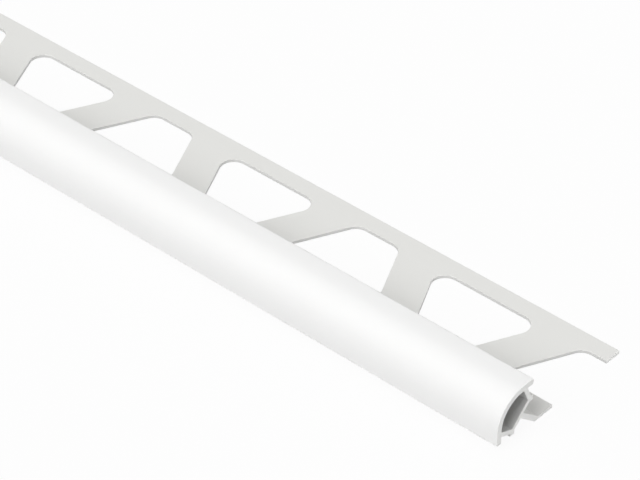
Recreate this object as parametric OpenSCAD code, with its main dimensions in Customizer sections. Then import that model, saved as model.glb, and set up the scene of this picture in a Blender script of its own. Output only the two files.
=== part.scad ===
// Quarter-round tile edge trim, extruded in one piece, with a perforated anchoring leg.
// X runs along the trim, the round faces -Y, the leg lies flat at Z = 0 and reaches back to +Y.
// The origin is on the floor, under the middle of the trim.

/* [Overall] */
// Length of the trim as sold
trim_length = 2500; // [500:50:3000]
// Height from the underside of the leg to the top of the round
trim_height = 10; // [9.5:0.1:14]

/* [Round] */
// Radius of the visible quarter round
arc_radius = 6.1; // [5.5:0.1:6.6]
// Thickness of the visible shell
shell_thickness = 1.2; // [1:0.05:1.4]
// Straight lip past each end of the quarter round
lip_length = 2.9; // [2.4:0.1:3.2]
// Rounding of the lips' free ends
lip_edge_radius = 0.45; // [0.1:0.05:0.45]

/* [Chamber] */
// Distance from the end of the quarter round to where a chamber wall leaves the lip
wall_offset = 0.65; // [0.4:0.05:1]
// Thickness of the two short chamber walls
wall_thickness = 0.9; // [0.6:0.05:1.1]
// Length of the diagonal web between the two chamber walls
web_length = 6; // [5:0.1:6.5]
// Thickness of the diagonal web
web_thickness = 0.75; // [0.5:0.05:1]
// Reach of the joint spacers, measured as the lips are
spacer_reach = 2.9; // [2.4:0.1:3.2]
// Width of the joint spacers
spacer_width = 1.1; // [0.8:0.1:1.4]

/* [Stem] */
// Thickness of the stem where it leaves the web
stem_thickness = 1.05; // [0.7:0.05:1.4]
// Width of the stem where it meets the underside of the leg
stem_foot = 1.6; // [1.2:0.1:2.4]

/* [Leg] */
// Distance from the front of the round to the front corner of the leg
leg_setback = 9.9; // [8:0.1:12]
// Thickness of the leg
leg_thickness = 0.65; // [0.5:0.05:1.2]
// Solid strip between the leg's front corner and the perforations
root_width = 4.6; // [3:0.1:8]
// Solid rail behind the perforations
rail_width = 3.6; // [2:0.1:8]

/* [Perforations] */
// Distance from one perforation to the next, turned one
perforation_pitch = 25; // [20:0.5:40]
// Size of a perforation across the leg
perforation_depth = 14.5; // [8:0.5:24]
// Longer of its two parallel sides, before rounding
perforation_long_side = 23.7; // [16:0.1:26]
// Shorter of its two parallel sides, before rounding
perforation_short_side = 9.6; // [5:0.1:12]
// Rounding of its corners
perforation_corner_radius = 2.6; // [0.5:0.1:3]

/* [Hidden] */

// How far a cut runs past the faces that it opens
cut_margin = 1;
// How far a rounding stands past the straight sides that it joins, so that they cross cleanly
join_overlap = 0.01;
// Facets to a full turn of a rounded face
round_facets = 96;

arc_centre = [arc_radius, trim_height - arc_radius];
inner_radius = arc_radius - shell_thickness;
// The web crosses the arc's centre at 45 degrees, and this is its upper end as seen from there
web_end = web_length / 2 * [cos(45), sin(45)];
web_half_stem = stem_thickness / 2 * [cos(45), sin(45)];
perforation_front = leg_setback + root_width;
trim_width = perforation_front + perforation_depth + rail_width;
end_perforation = ceil(trim_length / 2 / perforation_pitch);

// Straight bar of an even width from point p to point q
module bar(p, q, width) {
    run = q - p;
    translate(p) rotate(atan2(run[1], run[0])) translate([0, -width / 2]) square([norm(run), width]);
}

module quarter_disc(radius) {
    intersection() {
        circle(radius, $fn = round_facets);
        square(2 * radius);
    }
}

// The round, its walls and its spacers mirror in the 45 degree line through the arc's centre
module both_sides() {
    children();
    mirror([1, 1]) children();
}

module quarter_ring() {
    mirror([1, 0]) difference() {
        quarter_disc(arc_radius);
        quarter_disc(inner_radius);
    }
}

module lip() {
    straight = lip_length - lip_edge_radius;
    flat_end = shell_thickness - 2 * lip_edge_radius;
    translate([0, inner_radius]) {
        square([straight, shell_thickness]);
        translate([straight, lip_edge_radius]) {
            square([lip_edge_radius, flat_end]);
            mirror([0, 1]) quarter_disc(lip_edge_radius);
            translate([0, flat_end]) quarter_disc(lip_edge_radius);
        }
    }
}

module chamber_wall() {
    bar([wall_offset, inner_radius + shell_thickness / 2], web_end, wall_thickness);
}

module joint_spacer() {
    bar([web_end[0] - web_thickness / 2, web_end[1]], [spacer_reach, web_end[1]], spacer_width);
}

module round_section() {
    translate(arc_centre) {
        quarter_ring();
        both_sides() {
            lip();
            chamber_wall();
            joint_spacer();
        }
        bar(-web_end, web_end, web_thickness);
    }
}

module stem_section() {
    polygon([
        arc_centre - web_half_stem,
        [leg_setback, 0],
        [leg_setback + stem_foot, 0],
        arc_centre + web_half_stem
    ]);
}

module leg_section() {
    translate([leg_setback, 0]) square([trim_width - leg_setback, leg_thickness]);
}

// Trapezium with rounded corners, its front edge on the X axis
module perforation(front_side, back_side) {
    radius = perforation_corner_radius;
    lean = atan2((back_side - front_side) / 2, perforation_depth);
    slope = [sin(lean), cos(lean)];
    // Each rounding meets the straight sides at this distance from its corner
    front_run = radius / tan((90 + lean) / 2);
    back_run = radius / tan((90 - lean) / 2);
    right_side = [
        [front_side / 2 - front_run, 0],
        [front_side / 2, 0] + front_run * slope,
        [back_side / 2, perforation_depth] - back_run * slope,
        [back_side / 2 - back_run, perforation_depth]
    ];
    polygon([each right_side, for (i = [3 : -1 : 0]) [-right_side[i][0], right_side[i][1]]]);
    for (side = [-1, 1], corner = [[right_side[0][0], radius], [right_side[3][0], perforation_depth - radius]])
        translate([side * corner[0], corner[1]]) circle(radius + join_overlap, $fn = round_facets);
}

// Perforations lie turn about, and a saw cut at each end goes through the middle of one
module perforation_row() {
    for (i = [-end_perforation : end_perforation])
        translate([i * perforation_pitch, perforation_front])
            if (abs(i) % 2 == end_perforation % 2)
                perforation(perforation_long_side, perforation_short_side);
            else
                perforation(perforation_short_side, perforation_long_side);
}

module edge_trim() {
    color("whitesmoke") translate([0, -trim_width / 2, 0]) difference() {
        rotate([90, 0, 90]) linear_extrude(trim_length, center = true) {
            round_section();
            stem_section();
            leg_section();
        }
        translate([0, 0, -cut_margin]) linear_extrude(leg_thickness + 2 * cut_margin) perforation_row();
    }
}

edge_trim();
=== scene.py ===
import math

import bmesh
import bpy
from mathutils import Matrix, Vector


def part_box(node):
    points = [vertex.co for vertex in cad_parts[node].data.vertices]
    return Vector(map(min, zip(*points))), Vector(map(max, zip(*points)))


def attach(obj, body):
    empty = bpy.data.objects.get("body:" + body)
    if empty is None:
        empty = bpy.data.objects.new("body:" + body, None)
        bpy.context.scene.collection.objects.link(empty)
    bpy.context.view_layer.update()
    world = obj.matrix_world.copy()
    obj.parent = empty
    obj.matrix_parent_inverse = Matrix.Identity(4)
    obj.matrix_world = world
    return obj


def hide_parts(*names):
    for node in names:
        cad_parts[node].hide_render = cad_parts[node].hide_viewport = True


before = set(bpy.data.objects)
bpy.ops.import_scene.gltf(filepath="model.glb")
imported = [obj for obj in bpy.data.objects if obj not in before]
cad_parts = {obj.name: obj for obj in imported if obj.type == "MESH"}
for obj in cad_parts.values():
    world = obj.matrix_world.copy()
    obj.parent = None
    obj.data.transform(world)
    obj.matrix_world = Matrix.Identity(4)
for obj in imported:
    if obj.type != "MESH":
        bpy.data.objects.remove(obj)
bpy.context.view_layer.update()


# The trim is one length of extruded rigid PVC: a hollow round nose, a slanting stem and a thin leg. The die
# leaves its long edges slightly round, the punch does so round the openings of the leg, and both ends are
# sawn. The nose is whiter than the leg, which goes under the tiles; the leg's greyer white is painted
# shade.
trim_low, trim_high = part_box("edge_trim")
merge_distance = 0.000001
sharp_from = math.radians(30)
edge_rounding = 0.0001
edge_steps = 3

bpy.ops.object.select_all(action="DESELECT")
trim = bpy.data.objects.new("finished_trim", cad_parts["edge_trim"].data.copy())
bpy.context.collection.objects.link(trim)
bpy.context.view_layer.objects.active = trim
trim.select_set(True)
bpy.ops.mesh.customdata_custom_splitnormals_clear()
bpy.ops.object.mode_set(mode="EDIT")
bpy.ops.mesh.select_all(action="SELECT")
bpy.ops.mesh.remove_doubles(threshold=merge_distance)
bpy.ops.object.mode_set(mode="OBJECT")
bpy.ops.object.shade_smooth_by_angle(angle=sharp_from)

# Only outer edges are rounded, and the inner corners stay sharp
bpy.ops.object.mode_set(mode="EDIT")
bpy.ops.mesh.select_mode(type="EDGE")
bpy.ops.mesh.select_all(action="DESELECT")
shape = bmesh.from_edit_mesh(trim.data)
for edge in shape.edges:
    edge.select_set(edge.calc_face_angle_signed() > sharp_from)
bpy.ops.mesh.bevel(
    offset=edge_rounding,
    segments=edge_steps,
    clamp_overlap=False,
    loop_slide=False,
    harden_normals=True,
)
bpy.ops.object.mode_set(mode="OBJECT")


class Wire:
    """An output of a material's node. Arithmetic on it adds Math nodes to the same material."""

    def __init__(self, socket):
        self.socket = socket

    @classmethod
    def add(cls, tree, kind, settings=None, inputs=None, output=0):
        """Adds a node with its settings, then its socket values or links, and gives one of its outputs."""
        node = tree.nodes.new(kind)
        for name, value in (settings or {}).items():
            setattr(node, name, value)
        for name, value in (inputs or {}).items():
            if isinstance(value, cls):
                tree.links.new(value.socket, node.inputs[name])
            else:
                node.inputs[name].default_value = value
        return cls(node.outputs[output]) if node.outputs else None

    def math(self, operation, first, second):
        tree = self.socket.id_data
        return Wire.add(tree, "ShaderNodeMath", {"operation": operation}, {0: first, 1: second})

    def __add__(self, other):
        return self.math("ADD", self, other)

    def __sub__(self, other):
        return self.math("SUBTRACT", self, other)

    def __rsub__(self, other):
        return self.math("SUBTRACT", other, self)

    def __mul__(self, other):
        return self.math("MULTIPLY", self, other)

    def __or__(self, other):
        return self.math("MAXIMUM", self, other)

    __radd__ = __add__
    __rmul__ = __mul__
    __ror__ = __or__


# Lines to a metre along X, Y and Z, and how deep they are
die_lines, die_depth = (3, 1800, 1800), 0.00003
saw_lines, saw_depth = (4000, 250, 5000), 0.0001
punch_lines, punch_depth = (2500, 2500, 80), 0.00005
line_detail = 3
line_middle = 0.5
line_gloss = 0.06
relief_strength = 0.5
pvc_refraction = 1.53
trim.data.materials.clear()


def pvc(name, white, roughness, lines, depth):
    """A finish for some of the faces: PVC with the fine lines that a tool drew in it. Gives its slot."""
    finish = bpy.data.materials.new(name)
    finish.use_nodes = True
    tree = finish.node_tree
    tree.nodes.clear()
    place = Wire.add(tree, "ShaderNodeTexCoord", output="Object")
    drawn = Wire.add(tree, "ShaderNodeMapping", inputs={"Vector": place, "Scale": lines})
    height = Wire.add(tree, "ShaderNodeTexNoise", inputs={
        "Vector": drawn,
        "Scale": 1,
        "Detail": line_detail,
    }, output="Fac")
    relief = Wire.add(tree, "ShaderNodeBump", inputs={
        "Strength": relief_strength,
        "Distance": depth,
        "Height": height,
    })
    skin = Wire.add(tree, "ShaderNodeBsdfPrincipled", inputs={
        "Base Color": white,
        "Roughness": roughness + (height - line_middle) * line_gloss,
        "IOR": pvc_refraction,
        "Normal": relief,
    })
    Wire.add(tree, "ShaderNodeOutputMaterial", inputs={"Surface": skin})
    trim.data.materials.append(finish)
    return len(trim.data.materials) - 1


# The leg's greyer white is painted shade
shaded_leg = pvc("shaded_leg_pvc", (0.765, 0.765, 0.743, 1), roughness=0.45, lines=die_lines, depth=die_depth)
cover = pvc("cover_pvc", (0.91, 0.91, 0.905, 1), roughness=0.6, lines=die_lines, depth=die_depth)
# The inside of the chamber is darker with painted shade
shaded_hollow = pvc("shaded_hollow_pvc", (0.69, 0.69, 0.68, 1), roughness=0.5, lines=die_lines, depth=die_depth)
sawn = pvc("sawn_pvc", (0.9, 0.9, 0.885, 1), roughness=0.62, lines=saw_lines, depth=saw_depth)
# The sides of the openings are darker with painted shade
shaded_punched = pvc("shaded_punched_pvc", (0.64, 0.64, 0.628, 1), roughness=0.62, lines=punch_lines, depth=punch_depth)

# The faces of the section are placed from the round's centre, which the web crosses at 45 degrees
round_radius = 0.0061
cover_depth = 0.0003
chamber_radius = 0.005
web_front = 0.0003
wall_foot = 0.003
wall_flare = 0.394
stem_back = 0.0116
rail_back = 0.001
diagonal = math.sqrt(0.5)
steep = diagonal
for face in trim.data.polygons:
    forward = trim_low.y + round_radius - face.center.y
    upward = face.center.z - (trim_high.z - round_radius)
    reach = math.hypot(max(forward, 0), max(upward, 0))
    past_web = (forward + upward) * diagonal
    along_web = abs(forward - upward) * diagonal
    within_walls = along_web < wall_foot + past_web * wall_flare
    by_openings = trim_low.y + stem_back < face.center.y < trim_high.y - rail_back
    if abs(face.normal.x) > steep and abs(face.center.x) > trim_high.x - edge_rounding:
        face.material_index = sawn
    # The sides of the openings get that painted shade
    elif by_openings and abs(face.normal.z) < steep:
        face.material_index = shaded_punched
    elif reach > round_radius - cover_depth:
        face.material_index = cover
    # Faces inside the chamber get that painted shade
    elif reach < chamber_radius and past_web > web_front and within_walls:
        face.material_index = shaded_hollow
    # The rest is the leg, greyer with painted shade
    else:
        face.material_index = shaded_leg

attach(trim, "root")
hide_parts("edge_trim")


# The floor is a plain white studio sweep, wide enough to fill every view.
# The camera sees it nearly white, and the rest of its tone is the trim's own soft shadow.
floor_side = 60
floor_white = (0.8, 0.8, 0.8, 1)
full_white = (1, 1, 1, 1)
floor_glow = 0.94


def seen(tree):
    """1 for the rays that show a surface, straight or in gloss or glass, and 0 for those that it lights."""
    camera_ray = Wire.add(tree, "ShaderNodeLightPath", output="Is Camera Ray")
    glossy_ray = Wire.add(tree, "ShaderNodeLightPath", output="Is Glossy Ray")
    clear_ray = Wire.add(tree, "ShaderNodeLightPath", output="Is Transmission Ray")
    return camera_ray | glossy_ray | clear_ray


bpy.ops.object.select_all(action="DESELECT")
bpy.ops.mesh.primitive_plane_add(size=floor_side, location=(0, 0, 0))
floor = bpy.context.object
floor.name = "floor"
sweep = bpy.data.materials.new("floor_white")
sweep.use_nodes = True
tree = sweep.node_tree
tree.nodes.clear()
matt = Wire.add(tree, "ShaderNodeBsdfDiffuse", inputs={"Color": floor_white})
glow = Wire.add(tree, "ShaderNodeEmission", inputs={"Color": full_white, "Strength": 1})
mixed = Wire.add(tree, "ShaderNodeMixShader", inputs={0: seen(tree) * floor_glow, 1: matt, 2: glow})
Wire.add(tree, "ShaderNodeOutputMaterial", inputs={"Surface": mixed})
floor.data.materials.append(sweep)


# The studio is a tent of thin white cloth round the floor.
# It gives a little light from all round, and the camera sees its walls as white.
tent_light = 0.02
tent = bpy.data.worlds.new("tent")
bpy.context.scene.world = tent
tent.use_nodes = True
tree = tent.node_tree
tree.nodes.clear()
lit_walls = Wire.add(tree, "ShaderNodeBackground", inputs={"Color": full_white, "Strength": tent_light})
seen_walls = Wire.add(tree, "ShaderNodeBackground", inputs={"Color": full_white, "Strength": 1})
mixed = Wire.add(tree, "ShaderNodeMixShader", inputs={0: seen(tree), 1: lit_walls, 2: seen_walls})
Wire.add(tree, "ShaderNodeOutputWorld", inputs={"Surface": mixed})


# Three wide, soft lamps stand outside the tent: the main one in front of the round, one high behind the leg
# and one low beside the nearer sawn end. Their light is even along the whole trim.
def lamp(name, azimuth, elevation, share, spread):
    """A lamp in a direction in degrees: 0 is in front and 90 at +X. On white, a share of 1 gives white."""
    light = bpy.data.lights.new(name, "SUN")
    light.energy = share * math.pi
    light.angle = math.radians(spread)
    holder = bpy.data.objects.new(name, light)
    bpy.context.collection.objects.link(holder)
    turn, rise = math.radians(azimuth), math.radians(elevation)
    source = Vector((math.sin(turn) * math.cos(rise), -math.cos(turn) * math.cos(rise), math.sin(rise)))
    holder.rotation_euler = source.to_track_quat("Z", "Y").to_euler()


lamp("front_lamp", azimuth=-8, elevation=50, share=0.76, spread=50)
lamp("back_lamp", azimuth=180, elevation=65, share=0.3, spread=60)
lamp("end_lamp", azimuth=90, elevation=12, share=0.28, spread=30)


# The camera stands in front of the trim, to the right of a sawn end, and looks down along it.
# Its lens is long, so the trim narrows only a little towards the far end.
sensor_width = 36
image_width = 640
focal_pixels = 2759.3
camera_place = (1.44619, -0.27672, 0.30100)
view_azimuth = math.radians(48.0455)
view_elevation = math.radians(38.4148)
lens = bpy.data.cameras.new("camera")
lens.sensor_fit = "HORIZONTAL"
lens.sensor_width = sensor_width
lens.lens = focal_pixels * sensor_width / image_width
camera = bpy.data.objects.new("camera", lens)
bpy.context.collection.objects.link(camera)
camera.location = camera_place
look = Vector((
    -math.cos(view_azimuth) * math.cos(view_elevation),
    math.sin(view_azimuth) * math.cos(view_elevation),
    -math.sin(view_elevation),
))
camera.rotation_euler = look.to_track_quat("-Z", "Y").to_euler()
bpy.context.scene.camera = camera
bpy.context.scene.view_settings.view_transform = "Standard"
